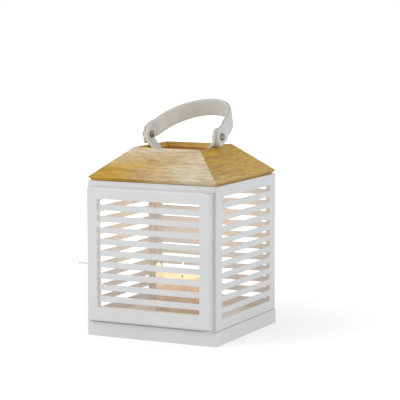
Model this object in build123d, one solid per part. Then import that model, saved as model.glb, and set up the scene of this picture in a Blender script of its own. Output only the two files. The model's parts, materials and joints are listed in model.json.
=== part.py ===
"""Hurricane candle lantern: white slotted sheet-metal box on a plinth, louvred door,
open-topped roof of four mitred boards, swinging leather handle and a pillar candle.

Millimetres, +Z up. The origin is the centre of the underside of the plinth. The door is on
the -Y side, hinged at its +X edge, and its pull pin points to -X.
"""
from build123d import *
from math import atan2, cos, degrees, sin, sqrt, tan
import os

# ---- driving dimensions ----------------------------------------------------------------
SHEET = 1.2                  # thickness of every sheet-metal piece
SEAM = 0.05                  # gap left along a weld, a glue line or a seated face

BODY_SIDE = 200.0            # outside width and depth of the metal box
BODY_TOP = 220.5             # top of the metal box above the ground

BASE_HEIGHT = 20.0           # plinth under the box
BASE_OVERHANG = 1.8          # how far the plinth stands out on each side
BASE_CORNER = 3.0            # radius of the plinth's upright corners
BASE_EDGE = 1.0              # radius along the plinth's top edge
BODY_SHADOW_GAP = 0.6        # gap between plinth and the lower edges of the walls

SLOT_PITCH = 16.2            # centre to centre, walls and door alike
WALL_SLOT_HEIGHT = 7.8
WALL_END_MARGIN = 12.0       # least plain metal above and below a wall's slots
SIDE_SLOT_MARGIN = 19.0      # plain metal beside the slots of the side walls
BACK_SLOT_MARGIN = 14.5      # plain metal beside the slots of the back wall
SLOT_CORNER = 0.8            # corner radius of a punched slot

POST_INNER_LEG = 12.0        # legs of the corner angles, apart from those beside the doorway
TOP_RAIL_LIP = 0.6           # how far the flat frame on top of the box stands out over the walls
TOP_RAIL_MARGIN = 1.0        # metal left between that frame's inner edge and a screw head

DOOR_SIDE_INSET = 3.6        # door edge to wall face, each side
DOOR_LIFT = 3.5              # door's lower edge above the plinth
DOOR_REVEAL = 8.0            # door's upper edge below the top of the box
DOOR_DEPTH = 11.2            # front to back
DOOR_GAP = 0.4               # door to box when shut
DOOR_EDGE = 3.0              # radius round the door's outer edges
STILE_WIDTH = 16.4
TOP_DOOR_RAIL = 16.0         # height of the upper door rail
BOTTOM_DOOR_RAIL = 15.0      # least height of the lower door rail
DOOR_SLOT_HEIGHT = 7.8
DOOR_SIDE_LAP = 4.0          # stile's inner edge to the edge of the doorway
DOOR_END_LAP = 8.5           # rail's inner edge to the edge of the doorway
SLAT_RECESS = 4.0            # slat face behind the face of the door frame
SLAT_THICKNESS = 1.5

PIVOT_INSET = 3.9            # hinge axis to the door's edge
PIVOT_RADIUS = 1.5
PIVOT_CLEARANCE = 0.06       # radial, pin in socket
PIVOT_ENGAGEMENT = 8.0       # length of pin inside the door
HINGE_TAB_WIDTH = 10.5
HINGE_TAB_GAP = 0.4          # tab to door

PULL_HEIGHT = 103.5          # pull pin above the ground
PULL_RADIUS = 1.3
PULL_REACH = 17.0            # how far the pin stands out of the door's edge
PULL_KNOB_RADIUS = 1.8
MAGNET_RADIUS = 4.0
MAGNET_DEPTH = 3.0
CATCH_GAP = 0.35             # catch clip to the side leg of its post

EAVE_OVERHANG = 0.3          # roof's lower tips past the walls, each side
EAVE_RISE = 5.2              # lower tips above the box
RIM_SIDE = 104.8             # roof across its upper tips
ROOF_RISE = 40.0             # upper tips above the lower tips
BOARD = 10.0                 # thickness of the roof boards
BLOCK_TOP_SIDE = 8.5         # flat top of the glued blocks inside the roof's corners
BLOCK_HEIGHT = 9.6
BLOCK_SCREW_WALL = 0.4       # wood left between a roof screw and the block's sloping face

SCREW_RADIUS = 1.7           # wood and sheet-metal screws
SCREW_HEAD_RADIUS = 3.6
SCREW_HEAD_HEIGHT = 2.2
ROOF_SCREW_BITE = 8.0        # length of thread inside the wood
FLOOR_SCREW_INSET = 20.0     # screw axis to wall face
FLOOR_SCREW_LENGTH = 7.0     # below the head

STRAP_WIDTH = 25.0           # leather handle, tabs included
LEATHER = 3.0                # one layer of leather
HANDLE_AXIS_RISE = 14.3      # handle screws above the roof's upper tips
HOOP_HEIGHT = 104.0          # screw axis to the middle of the strap at its top
HOOP_LEG = 24.0              # straight part of the hoop above the screws
HOOP_LEAN = 69.0             # rest angle, back from upright, degrees
STRAP_END = 15.0             # strap tip past the screw axis
STRAP_TIP_WIDTH = 9.0
TAB_GAP = 0.4                # tab to strap
TAB_SCREWED_LENGTH = 30.0    # tab lying on the underside of a board
TAB_BEND_LEAD = 4.5          # tab runs this far past the board's inner edge before it turns
TAB_OUTSET = 0.5             # upright part of a tab, out from the roof's upper tips
TAB_TURN_DROP = 8.4          # where the tab turns upright, below the screw axis
TAB_BEND_RADIUS = 4.0
TAB_TURN_RADIUS = 8.0
TAB_SCREW_SPREAD = 12.0      # between the two screws of a tab
TAB_SCREW_PLACE = 18.0       # screws from the board's inner edge
TAB_SCREW_BITE = 7.0

BARREL_RADIUS = 2.5          # two-part handle screws
BARREL_CLEARANCE = 0.08      # radial, barrel in strap
STUD_RADIUS = 1.5
DOME_RADIUS = 5.4
DOME_EDGE = 1.4              # height of a dome's rim
DOME_HEIGHT = 4.6
DOME_SLOT = 1.0              # width of the screwdriver slot

CANDLE_RADIUS = 37.5
CANDLE_HEIGHT = 75.5
CANDLE_OFFSET = -2.5         # stands a little off centre
POOL_RADIUS = 31.0
POOL_DEPTH = 3.5
WICK_RADIUS = 0.9
WICK_RISE = 9.0              # above the pool
WICK_ROOT = 5.0              # below the pool

# ---- derived places --------------------------------------------------------------------
HALF = BODY_SIDE / 2
WALL_BOTTOM = BASE_HEIGHT + BODY_SHADOW_GAP
FLOOR_TOP = BASE_HEIGHT + SHEET
RAIL_BOTTOM = BODY_TOP - SHEET
WALL_TOP = RAIL_BOTTOM - SEAM
INSIDE = HALF - SHEET - SEAM          # what stands between the side walls
WALL_HEIGHT = WALL_TOP - WALL_BOTTOM
WALL_SLOTS = int((WALL_HEIGHT - 2 * WALL_END_MARGIN - WALL_SLOT_HEIGHT) / SLOT_PITCH) + 1
DOOR_HALF = HALF - DOOR_SIDE_INSET
DOOR_BOTTOM = BASE_HEIGHT + DOOR_LIFT
DOOR_TOP = BODY_TOP - DOOR_REVEAL
DOOR_BACK = -HALF - DOOR_GAP
DOOR_FRONT = DOOR_BACK - DOOR_DEPTH
DOOR_MIDDLE = DOOR_BACK - DOOR_DEPTH / 2
SLAT_HEIGHT = SLOT_PITCH - DOOR_SLOT_HEIGHT
LOUVRE_TOP = DOOR_TOP - TOP_DOOR_RAIL
LOUVRE_ROOM = LOUVRE_TOP - DOOR_BOTTOM - BOTTOM_DOOR_RAIL
DOOR_SLATS = int((LOUVRE_ROOM - DOOR_SLOT_HEIGHT) / SLOT_PITCH)
LOUVRE_BOTTOM = LOUVRE_TOP - DOOR_SLATS * SLOT_PITCH - DOOR_SLOT_HEIGHT
DOORWAY_HALF = DOOR_HALF - STILE_WIDTH + DOOR_SIDE_LAP
DOORWAY_BOTTOM = LOUVRE_BOTTOM - DOOR_END_LAP
DOORWAY_TOP = LOUVRE_TOP + DOOR_END_LAP
POST_FRONT_LEG = INSIDE - DOORWAY_HALF
PIVOT_X = DOOR_HALF - PIVOT_INSET
EAVE_TIP = HALF + EAVE_OVERHANG
EAVE_HEIGHT = BODY_TOP + EAVE_RISE
RIM_HEIGHT = EAVE_HEIGHT + ROOF_RISE
ROOF_SLOPE = atan2(ROOF_RISE, EAVE_TIP - RIM_SIDE / 2)
ROOF_SEAT = BODY_TOP + SEAM
RIM_INNER_X = RIM_SIDE / 2 - BOARD * sin(ROOF_SLOPE)
RIM_INNER_Z = RIM_HEIGHT - BOARD * cos(ROOF_SLOPE)
SEAT_INNER_X = RIM_INNER_X + (RIM_INNER_Z - ROOF_SEAT) / tan(ROOF_SLOPE)
SEAT_OUTER_X = EAVE_TIP - (EAVE_HEIGHT - ROOF_SEAT) * tan(ROOF_SLOPE)
BLOCK_FACE = SEAT_INNER_X - SEAM / sin(ROOF_SLOPE)
BLOCK_RUN = BLOCK_HEIGHT / tan(ROOF_SLOPE)
BLOCK_INNER = BLOCK_FACE - BLOCK_RUN - BLOCK_TOP_SIDE
ROOF_SCREW_AT = BLOCK_FACE - BLOCK_RUN - BLOCK_SCREW_WALL - SCREW_RADIUS
TOP_RAIL_INNER = ROOF_SCREW_AT - SCREW_HEAD_RADIUS - TOP_RAIL_MARGIN
CLIP_HALF_WIDTH = MAGNET_RADIUS + 1.5 * SHEET
MAGNET_X = -(INSIDE - SHEET - CATCH_GAP - CLIP_HALF_WIDTH)
HANDLE_AXIS_HEIGHT = RIM_HEIGHT + HANDLE_AXIS_RISE
TAB_CENTRE = RIM_SIDE / 2 + TAB_OUTSET
STRAP_INNER_X = TAB_CENTRE + LEATHER / 2 + TAB_GAP
STRAP_OUTER_X = STRAP_INNER_X + 2 * LEATHER + SEAM
TAB_INNER_X = TAB_CENTRE - LEATHER / 2
CANDLE_BOTTOM = FLOOR_TOP + SEAM
POOL_LEVEL = CANDLE_BOTTOM + CANDLE_HEIGHT - POOL_DEPTH

CORNERS = [(-1, -1), (1, -1), (1, 1), (-1, 1)]
QUARTERS = {"right": 0, "back": 90, "left": 180, "front": 270}

parts = {}


# ---- helpers ---------------------------------------------------------------------------
def block(x0, x1, y0, y1, z0, z1):
    """A box between two corners."""
    size = Box(x1 - x0, y1 - y0, z1 - z0)
    return Pos((x0 + x1) / 2, (y0 + y1) / 2, (z0 + z1) / 2) * size


def rod(radius, start, direction, length):
    """A round bar that starts at a point and runs along a direction."""
    plane = Plane(origin=start, z_dir=direction)
    return plane * extrude(Circle(radius), length)


def prism_along_y(points, y0, y1):
    """A prism whose outline is given as (x, z) points and which runs from y0 to y1."""
    outline = make_face(Polyline(*[(x, 0, z) for x, z in points], close=True))
    return Pos(0, y0, 0) * extrude(outline, y1 - y0, dir=(0, 1, 0))


def edges_at(shape, direction, **places):
    """The edges along a direction whose middles lie at the stated x, y or z."""
    found = shape.edges().filter_by(direction)
    for name, value in places.items():
        found = [e for e in found if abs(getattr(e.center(), name) - value) < 0.01]
    return found


def slotted_sheet(width, height, slots, slot_length, slot_height):
    """A flat sheet in the XZ plane, centred, with a row of level punched slots."""
    sheet = RectangleRounded(width, height, SHEET / 4)
    hole = RectangleRounded(slot_length, slot_height, SLOT_CORNER)
    places = GridLocations(0, SLOT_PITCH, 1, slots)
    sheet -= [place * hole for place in places]
    return Rot(90, 0, 0) * extrude(sheet, SHEET / 2, both=True)


def angle_post(front_leg, side_leg, z0, z1):
    """A folded corner angle with its outer corner at the origin and legs to -X and +Y."""
    front = block(-front_leg, 0, 0, SHEET, z0, z1)
    side = block(-SHEET, 0, 0, side_leg, z0, z1)
    post = front + side
    return fillet(edges_at(post, Axis.Z, X=0, Y=0), SHEET / 2)


def pan_screw(head_centre, direction, length):
    """A pan-head screw; the direction runs from the head's seat along the shank."""
    plane = Plane(origin=head_centre, z_dir=direction)
    head = Pos(0, 0, -SCREW_HEAD_HEIGHT / 2) * Cylinder(SCREW_HEAD_RADIUS, SCREW_HEAD_HEIGHT)
    head = fillet(head.edges().group_by(Axis.Z)[0], SCREW_HEAD_HEIGHT * 0.45)
    tip = SCREW_RADIUS
    shank = Pos(0, 0, (length - tip) / 2) * Cylinder(SCREW_RADIUS, length - tip)
    point = Pos(0, 0, length - tip / 2) * Cone(SCREW_RADIUS, SCREW_RADIUS / 4, tip)
    slot = Box(2 * SCREW_HEAD_RADIUS, DOME_SLOT, SCREW_HEAD_HEIGHT)
    slot = Pos(0, 0, -SCREW_HEAD_HEIGHT) * slot
    return plane * (head + shank + point - slot)


def screw_hole(head_centre, direction, length):
    """The hole that such a screw passes through."""
    return rod(SCREW_RADIUS + SEAM, head_centre, direction, length + SEAM)


def dome(radius, rim, height):
    """A domed screw head on the plane z = 0."""
    cap_height = height - rim
    ball = (radius ** 2 + cap_height ** 2) / (2 * cap_height)
    head = Pos(0, 0, rim / 2) * Cylinder(radius, rim)
    cap = Pos(0, 0, height - ball) * Sphere(ball) & Pos(0, 0, rim + cap_height / 2) * Box(
        4 * radius, 4 * radius, cap_height
    )
    return head + cap


# ---- plinth and floor ------------------------------------------------------------------
def make_plinth():
    outer = BODY_SIDE + 2 * BASE_OVERHANG
    shell = extrude(RectangleRounded(outer, outer, BASE_CORNER), BASE_HEIGHT)
    shell = fillet(shell.edges().group_by(Axis.Z)[-1], BASE_EDGE)
    inner = outer - 2 * SHEET
    hollow = extrude(RectangleRounded(inner, inner, BASE_CORNER - SHEET), BASE_HEIGHT - SHEET)
    cover = outer - 2 * SHEET - 2 * SEAM
    plate = extrude(RectangleRounded(cover, cover, BASE_CORNER - SHEET), SHEET)
    floor = block(-INSIDE, INSIDE, -INSIDE, INSIDE, BASE_HEIGHT + SEAM, FLOOR_TOP)
    tray = shell - hollow
    at = HALF - FLOOR_SCREW_INSET
    screws = []
    for sx, sy in CORNERS:
        seat = (sx * at, sy * at, FLOOR_TOP + SEAM)
        screws.append(pan_screw(seat, (0, 0, -1), FLOOR_SCREW_LENGTH))
        hole = screw_hole(seat, (0, 0, -1), FLOOR_SCREW_LENGTH)
        tray -= hole
        floor -= hole
    parts["base_tray"] = tray
    parts["base_plate"] = plate
    parts["floor_pan"] = floor
    parts["floor_screws"] = Compound(screws)


# ---- walls, posts and frames of the metal box --------------------------------------------
def make_walls():
    middle = (WALL_TOP + WALL_BOTTOM) / 2
    side_slot = BODY_SIDE - 2 * SIDE_SLOT_MARGIN
    side = slotted_sheet(BODY_SIDE, WALL_HEIGHT, WALL_SLOTS, side_slot, WALL_SLOT_HEIGHT)
    for name, sx in (("wall_left", -1), ("wall_right", 1)):
        parts[name] = Pos(sx * (HALF - SHEET / 2), 0, middle) * Rot(0, 0, 90) * side
    back_slot = BODY_SIDE - 2 * BACK_SLOT_MARGIN
    back = slotted_sheet(2 * INSIDE, WALL_HEIGHT, WALL_SLOTS, back_slot, WALL_SLOT_HEIGHT)
    parts["wall_back"] = Pos(0, HALF - SHEET / 2, middle) * back


def make_posts():
    low = FLOOR_TOP + SEAM
    post = angle_post(POST_FRONT_LEG, POST_INNER_LEG, low, WALL_TOP)
    below = block(-HALF, HALF, -HALF, SHEET + SEAM, 0, DOORWAY_BOTTOM + SEAM)
    above = block(-HALF, HALF, -HALF, SHEET + SEAM, DOORWAY_TOP - SEAM, BODY_TOP)
    front = Pos(INSIDE, -HALF, 0) * (post - below - above)
    rear_post = angle_post(POST_INNER_LEG, POST_INNER_LEG, low, WALL_TOP)
    rear = mirror(Pos(INSIDE, -INSIDE, 0) * rear_post, Plane.XZ)
    parts["front_post_right"] = front
    parts["rear_post_right"] = rear
    parts["rear_post_left"] = mirror(rear, Plane.YZ)
    socket = rod(MAGNET_RADIUS + SEAM, (MAGNET_X, -HALF - 1, PULL_HEIGHT), (0, 1, 0), 3 * SHEET)
    parts["front_post_left"] = mirror(front, Plane.YZ) - socket


def make_catch():
    """The door catch: a disc magnet in the front post and the clip that holds it."""
    face = -HALF + SEAM
    parts["catch_magnet"] = rod(MAGNET_RADIUS, (MAGNET_X, face, PULL_HEIGHT), (0, 1, 0), MAGNET_DEPTH)
    back = face + MAGNET_DEPTH + SEAM
    half_width = CLIP_HALF_WIDTH
    half_height = MAGNET_RADIUS + SHEET
    post_back = -HALF + SHEET + SEAM
    clip = block(-half_width, half_width, post_back, back + SHEET, -half_height, half_height)
    clip -= block(SHEET - half_width, half_width - SHEET, post_back - 1, back, -HALF, HALF)
    parts["catch_clip"] = Pos(MAGNET_X, 0, PULL_HEIGHT) * clip


def make_frames():
    front, back = -HALF, -HALF + SHEET
    parts["front_sill"] = block(-INSIDE, INSIDE, front, back, WALL_BOTTOM, DOORWAY_BOTTOM)
    parts["front_header"] = block(-INSIDE, INSIDE, front, back, DOORWAY_TOP, WALL_TOP)
    outer = HALF + TOP_RAIL_LIP
    inner = TOP_RAIL_INNER
    long_rail = block(-outer, outer, inner, outer, RAIL_BOTTOM, BODY_TOP)
    long_rail = fillet(edges_at(long_rail, Axis.Z, Y=outer), SHEET)
    for sx in (-1, 1):
        hole_start = (sx * ROOF_SCREW_AT, ROOF_SCREW_AT, 0)
        long_rail -= rod(SCREW_RADIUS + SEAM, hole_start, (0, 0, 1), RIM_HEIGHT)
    side_rail = block(inner, outer, -inner + SEAM, inner - SEAM, RAIL_BOTTOM, BODY_TOP)
    parts["top_rail_back"] = long_rail
    parts["top_rail_front"] = mirror(long_rail, Plane.XZ)
    parts["top_rail_right"] = side_rail
    parts["top_rail_left"] = mirror(side_rail, Plane.YZ)


# ---- roof ------------------------------------------------------------------------------
def make_roof():
    profile = [
        (EAVE_TIP, EAVE_HEIGHT),
        (RIM_SIDE / 2, RIM_HEIGHT),
        (RIM_INNER_X, RIM_INNER_Z),
        (SEAT_INNER_X, ROOF_SEAT),
        (SEAT_OUTER_X, ROOF_SEAT),
    ]
    board = prism_along_y(profile, -EAVE_TIP, EAVE_TIP)
    reach = EAVE_TIP + 1
    glue = SEAM / 2 * 2 ** 0.5
    wedge = Polyline((glue, 0), (reach + glue, reach), (reach + glue, -reach), close=True)
    board &= extrude(make_face(wedge), RIM_HEIGHT + 1)
    for name, turn in QUARTERS.items():
        parts["roof_board_" + name] = Rot(0, 0, turn) * board


def make_roof_fixing():
    """Glued corner blocks inside the roof, screwed from below through the top frame."""
    inner = BLOCK_INNER
    top = ROOF_SEAT + BLOCK_HEIGHT
    slant = [(BLOCK_FACE, ROOF_SEAT), (BLOCK_FACE - BLOCK_RUN, top)]
    profile = [(inner, ROOF_SEAT)] + slant + [(inner, top)]
    across = prism_along_y(profile, inner, BLOCK_FACE)
    corner = across & mirror(across, Plane((0, 0, 0), x_dir=(0, 0, 1), z_dir=(1, -1, 0)))
    at = ROOF_SCREW_AT
    seat_z = RAIL_BOTTOM - SEAM
    length = BODY_TOP - seat_z + ROOF_SCREW_BITE
    corner -= screw_hole((at, at, seat_z), (0, 0, 1), length)
    screw = pan_screw((at, at, seat_z), (0, 0, 1), length)
    screws = []
    names = ("right_back", "left_back", "left_front", "right_front")
    for turn, name in enumerate(names):
        parts["corner_block_" + name] = Rot(0, 0, 90 * turn) * corner
        screws.append(Rot(0, 0, 90 * turn) * screw)
    parts["roof_screws"] = Compound(screws)


# ---- door ------------------------------------------------------------------------------
def door_rail(z0, z1, edge_z, inset):
    """A rail's outer shape, or its hollow when inset; edge_z is its outer long edge."""
    radius = DOOR_EDGE - inset
    x = DOOR_HALF - inset
    front = DOOR_FRONT + inset
    back = DOOR_BACK - inset
    low = z0 + inset
    high = z1 - inset
    edge = high if edge_z == z1 else low
    rail = block(-x, x, front, back, low, high)
    rounded = edges_at(rail, Axis.Z, X=x) + edges_at(rail, Axis.Z, X=-x)
    rounded += edges_at(rail, Axis.X, Y=front, Z=edge)
    return fillet(rounded, radius)


def door_stile(inset):
    """The right-hand stile's outer shape, or its hollow when inset."""
    outer = DOOR_HALF - inset
    inner = DOOR_HALF - STILE_WIDTH + inset
    front = DOOR_FRONT + inset
    back = DOOR_BACK - inset
    spill = inset
    low = LOUVRE_BOTTOM + SEAM - spill
    high = LOUVRE_TOP - SEAM + spill
    stile = block(inner, outer, front, back, low, high)
    return fillet(edges_at(stile, Axis.Z, X=outer), DOOR_EDGE - inset)


def hinge_socket(z0, z1):
    """The bored block welded inside a rail for the hinge pin."""
    side = PIVOT_INSET - SHEET - SEAM
    front = DOOR_FRONT + DOOR_EDGE
    back = DOOR_BACK - DOOR_EDGE
    return block(PIVOT_X - 2 * side, PIVOT_X + side, front, back, z0, z1)


def make_door():
    bottom = door_rail(DOOR_BOTTOM, LOUVRE_BOTTOM, DOOR_BOTTOM, 0)
    bottom -= door_rail(DOOR_BOTTOM, LOUVRE_BOTTOM, DOOR_BOTTOM, SHEET)
    top = door_rail(LOUVRE_TOP, DOOR_TOP, DOOR_TOP, 0)
    top -= door_rail(LOUVRE_TOP, DOOR_TOP, DOOR_TOP, SHEET)
    bore = PIVOT_RADIUS + PIVOT_CLEARANCE
    pivot = (PIVOT_X, DOOR_MIDDLE, 0)
    axis_hole = rod(bore, pivot, (0, 0, 1), DOOR_BOTTOM + PIVOT_ENGAGEMENT + 1)
    upper_start = (PIVOT_X, DOOR_MIDDLE, DOOR_TOP - PIVOT_ENGAGEMENT - 1)
    upper_hole = rod(bore, upper_start, (0, 0, 1), BODY_TOP)
    low_floor = DOOR_BOTTOM + SHEET + SEAM
    high_ceiling = DOOR_TOP - SHEET - SEAM
    parts["door_rail_bottom"] = bottom - axis_hole
    parts["door_rail_top"] = top - upper_hole
    socket = hinge_socket(low_floor, DOOR_BOTTOM + PIVOT_ENGAGEMENT + 2)
    parts["hinge_socket_lower"] = socket - axis_hole
    socket = hinge_socket(DOOR_TOP - PIVOT_ENGAGEMENT - 2, high_ceiling)
    parts["hinge_socket_upper"] = socket - upper_hole
    stile = door_stile(0) - door_stile(SHEET)
    parts["door_stile_right"] = stile
    pull_start = (-DOOR_HALF - PULL_REACH, DOOR_MIDDLE, PULL_HEIGHT)
    pull_length = PULL_REACH + SHEET
    neck = PULL_KNOB_RADIUS + sqrt(PULL_KNOB_RADIUS**2 - PULL_RADIUS**2)
    knob = ThreePointArc((0, 0), (PULL_KNOB_RADIUS, PULL_KNOB_RADIUS), (neck, PULL_RADIUS))
    shank = Polyline((neck, PULL_RADIUS), (pull_length, PULL_RADIUS), (pull_length, 0), (0, 0))
    pull = revolve(make_face([knob, shank]), Axis.X)
    pull_hole = rod(PULL_RADIUS + SEAM, pull_start, (1, 0, 0), pull_length + SEAM)
    parts["door_stile_left"] = mirror(stile, Plane.YZ) - pull_hole
    parts["pull_pin"] = Pos(*pull_start) * pull
    half_opening = DOOR_HALF - STILE_WIDTH - SEAM
    face = DOOR_FRONT + SLAT_RECESS
    for row in range(DOOR_SLATS):
        low = LOUVRE_BOTTOM + DOOR_SLOT_HEIGHT + row * SLOT_PITCH
        slat = block(-half_opening, half_opening, face, face + SLAT_THICKNESS, low, low + SLAT_HEIGHT)
        parts["door_slat_%d" % (row + 1)] = slat


def make_hinges():
    """Two tabs welded to the front of the box, each with a riveted pin."""
    right = PIVOT_X + HINGE_TAB_WIDTH / 2
    left = PIVOT_X - HINGE_TAB_WIDTH / 2
    front = DOOR_MIDDLE - HINGE_TAB_WIDTH / 2
    below = DOOR_BOTTOM - HINGE_TAB_GAP
    above = DOOR_TOP + HINGE_TAB_GAP
    sheets = {"lower": (below - SHEET, below), "upper": (above, above + SHEET)}
    for name, (z0, z1) in sheets.items():
        tab = block(left, right, front, -HALF - SEAM, z0, z1)
        tab = fillet(edges_at(tab, Axis.Z, Y=front), HINGE_TAB_WIDTH * 0.4)
        tab -= rod(PIVOT_RADIUS + SEAM, (PIVOT_X, DOOR_MIDDLE, z0 - 1), (0, 0, 1), SHEET + 2)
        parts["hinge_tab_" + name] = tab
    length = SHEET + HINGE_TAB_GAP + PIVOT_ENGAGEMENT
    start = (PIVOT_X, DOOR_MIDDLE, below - SHEET)
    parts["hinge_pin_lower"] = rod(PIVOT_RADIUS, start, (0, 0, 1), length)
    start = (PIVOT_X, DOOR_MIDDLE, above + SHEET)
    parts["hinge_pin_upper"] = rod(PIVOT_RADIUS, start, (0, 0, -1), length)


# ---- handle ----------------------------------------------------------------------------
def arch(half_span, height):
    """An arch in the XZ plane that stands on its own end level: legs, then half an ellipse."""
    low = -STRAP_END
    left = Polyline((-half_span, low), (-half_span, HOOP_LEG))
    top = EllipticalCenterArc((0, HOOP_LEG), half_span, height - HOOP_LEG, start_angle=0, arc_size=180)
    right = Polyline((half_span, HOOP_LEG), (half_span, low))
    base = Line((half_span, low), (-half_span, low))
    return make_face([left, top, right, base])


def strap_layer(inner_x, outer_x):
    """One leather layer of the hoop, upright, with the screw axis along X at the origin."""
    middle = (STRAP_INNER_X + STRAP_OUTER_X) / 2
    outer = arch(outer_x, HOOP_HEIGHT + outer_x - middle)
    inner = arch(inner_x, HOOP_HEIGHT + inner_x - middle)
    ring = outer - inner
    band = Rot(90, 0, 0) * extrude(ring, STRAP_WIDTH / 2, both=True)
    half = STRAP_WIDTH / 2
    tip = STRAP_TIP_WIDTH / 2
    outline = Polyline(
        (-half, 2 * HOOP_HEIGHT),
        (-half, 0),
        (-tip, -STRAP_END),
        (tip, -STRAP_END),
        (half, 0),
        (half, 2 * HOOP_HEIGHT),
        close=True,
    )
    face = make_face(outline)
    face = fillet(face.vertices().group_by(Axis.Y)[0], tip * 0.8)
    face = fillet(face.vertices().group_by(Axis.Y)[-2], half * 0.8)
    shape = Rot(0, 0, 90) * Rot(90, 0, 0) * extrude(face, 2 * HALF, both=True)
    band &= shape
    hole = rod(BARREL_RADIUS + BARREL_CLEARANCE, (-HALF, 0, 0), (1, 0, 0), BODY_SIDE)
    return band - hole


def make_strap():
    place = Pos(0, 0, HANDLE_AXIS_HEIGHT) * Rot(-HOOP_LEAN, 0, 0)
    parting = STRAP_INNER_X + LEATHER
    parts["handle_lining"] = place * strap_layer(STRAP_INNER_X, parting)
    parts["handle_strap"] = place * strap_layer(parting + SEAM, STRAP_OUTER_X)


def make_tabs():
    """The two leather tabs: screwed under a side board, round its edge, then upright."""
    down = Vector(cos(ROOF_SLOPE), 0, -sin(ROOF_SLOPE))
    inward = Vector(-sin(ROOF_SLOPE), 0, -cos(ROOF_SLOPE))
    edge = Vector(RIM_INNER_X, 0, RIM_INNER_Z)
    on_board = edge + inward * (LEATHER / 2 + SEAM)
    start = on_board + down * TAB_SCREWED_LENGTH
    bend = on_board - down * TAB_BEND_LEAD
    turn = Vector(TAB_CENTRE, 0, HANDLE_AXIS_HEIGHT - TAB_TURN_DROP)
    end = Vector(TAB_CENTRE, 0, HANDLE_AXIS_HEIGHT + STRAP_WIDTH / 2)
    path = FilletPolyline(start, bend, turn, end, radius=[TAB_BEND_RADIUS, TAB_TURN_RADIUS])
    section = Plane(origin=start, x_dir=(0, 1, 0), z_dir=-down) * Rectangle(STRAP_WIDTH, LEATHER)
    tab = sweep(section, path=path)
    ends = [e for e in tab.edges().filter_by(Axis.X) if e.center().Z > HANDLE_AXIS_HEIGHT]
    tab = fillet(ends, STRAP_WIDTH * 0.45)
    tab -= rod(BARREL_RADIUS + SEAM, (0, 0, HANDLE_AXIS_HEIGHT), (1, 0, 0), HALF)
    board = parts["roof_board_right"]
    screws = []
    for side in (-1, 1):
        middle = edge + inward * (LEATHER + 2 * SEAM) + down * TAB_SCREW_PLACE
        seat = middle + Vector(0, side * TAB_SCREW_SPREAD / 2, 0)
        length = LEATHER + 2 * SEAM + TAB_SCREW_BITE
        screws.append(pan_screw(seat, -inward, length))
        hole = screw_hole(seat, -inward, length)
        tab -= hole
        board -= hole
    parts["handle_tab_right"] = tab
    parts["handle_tab_left"] = mirror(tab, Plane.YZ)
    parts["roof_board_right"] = board
    parts["roof_board_left"] = mirror(board, Plane.YZ)
    parts["tab_screws"] = Compound(screws + [mirror(s, Plane.YZ) for s in screws])


def make_handle_screws():
    """Two-part screws: a bored barrel with an inner dome, a stud with an outer dome."""
    inner = TAB_INNER_X - SEAM
    outer = STRAP_OUTER_X + SEAM
    height = HANDLE_AXIS_HEIGHT
    head = dome(DOME_RADIUS, DOME_EDGE, DOME_HEIGHT)
    barrel_start = (inner - DOME_EDGE, 0, height)
    barrel_length = outer - SEAM - barrel_start[0]
    barrel = Plane((inner, 0, height), z_dir=(-1, 0, 0)) * head
    barrel += rod(BARREL_RADIUS, barrel_start, (1, 0, 0), barrel_length)
    bore_start = inner + LEATHER / 2
    barrel -= rod(STUD_RADIUS + SEAM, (bore_start, 0, height), (1, 0, 0), BODY_SIDE)
    slot = Box(2 * DOME_SLOT, 2 * DOME_RADIUS, DOME_SLOT)
    slot = Pos(outer + DOME_HEIGHT, 0, height) * slot
    stud_start = bore_start + SEAM
    stud = rod(STUD_RADIUS, (stud_start, 0, height), (1, 0, 0), outer + DOME_EDGE - stud_start)
    screw = Plane((outer, 0, height), z_dir=(1, 0, 0)) * head - slot + stud
    parts["handle_barrels"] = Compound([barrel, mirror(barrel, Plane.YZ)])
    parts["handle_studs"] = Compound([screw, mirror(screw, Plane.YZ)])


# ---- candle ----------------------------------------------------------------------------
def make_candle():
    place = Pos(CANDLE_OFFSET, 0, 0)
    top = CANDLE_BOTTOM + CANDLE_HEIGHT
    wax = Pos(0, 0, (top + CANDLE_BOTTOM) / 2) * Cylinder(CANDLE_RADIUS, CANDLE_HEIGHT)
    wax = fillet(wax.edges().filter_by(GeomType.CIRCLE), SHEET)
    wax -= rod(POOL_RADIUS, (0, 0, POOL_LEVEL), (0, 0, 1), CANDLE_HEIGHT)
    root = POOL_LEVEL - WICK_ROOT
    wax -= rod(WICK_RADIUS + SEAM, (0, 0, root - SEAM), (0, 0, 1), CANDLE_HEIGHT)
    parts["candle_wax"] = place * wax
    parts["candle_wick"] = place * rod(WICK_RADIUS, (0, 0, root), (0, 0, 1), WICK_ROOT + WICK_RISE)


make_plinth()
make_walls()
make_posts()
make_catch()
make_frames()
make_roof()
make_roof_fixing()
make_door()
make_hinges()
make_strap()
make_tabs()
make_handle_screws()
make_candle()

os.makedirs("parts", exist_ok=True)
for name, shape in parts.items():
    export_step(shape, "parts/" + name + ".step")
print(len(parts), "nodes,", WALL_SLOTS, "wall slots,", DOOR_SLATS, "door slats")
print("roof slope", round(degrees(ROOF_SLOPE), 2), "degrees")
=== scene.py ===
# %% [markdown]
# # A slotted candle lantern, piece by piece
# The real object is a square box of white powder-coated sheet steel with punched slots,
# a louvred door, a plinth, an open-topped roof of four mitred hardwood boards, a leather
# handle and a pillar candle. The measured model already holds every solid at its true
# size. This script dresses it: some solids only need a finish, while soft or melted
# things are modelled again as what they are. Everything is in metres, with +Z up, the
# door towards -Y and the door's hinges at +X.

# %% Load the measured model
import json
import math
import bpy
import bmesh
from mathutils import Matrix, Vector, noise


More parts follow.
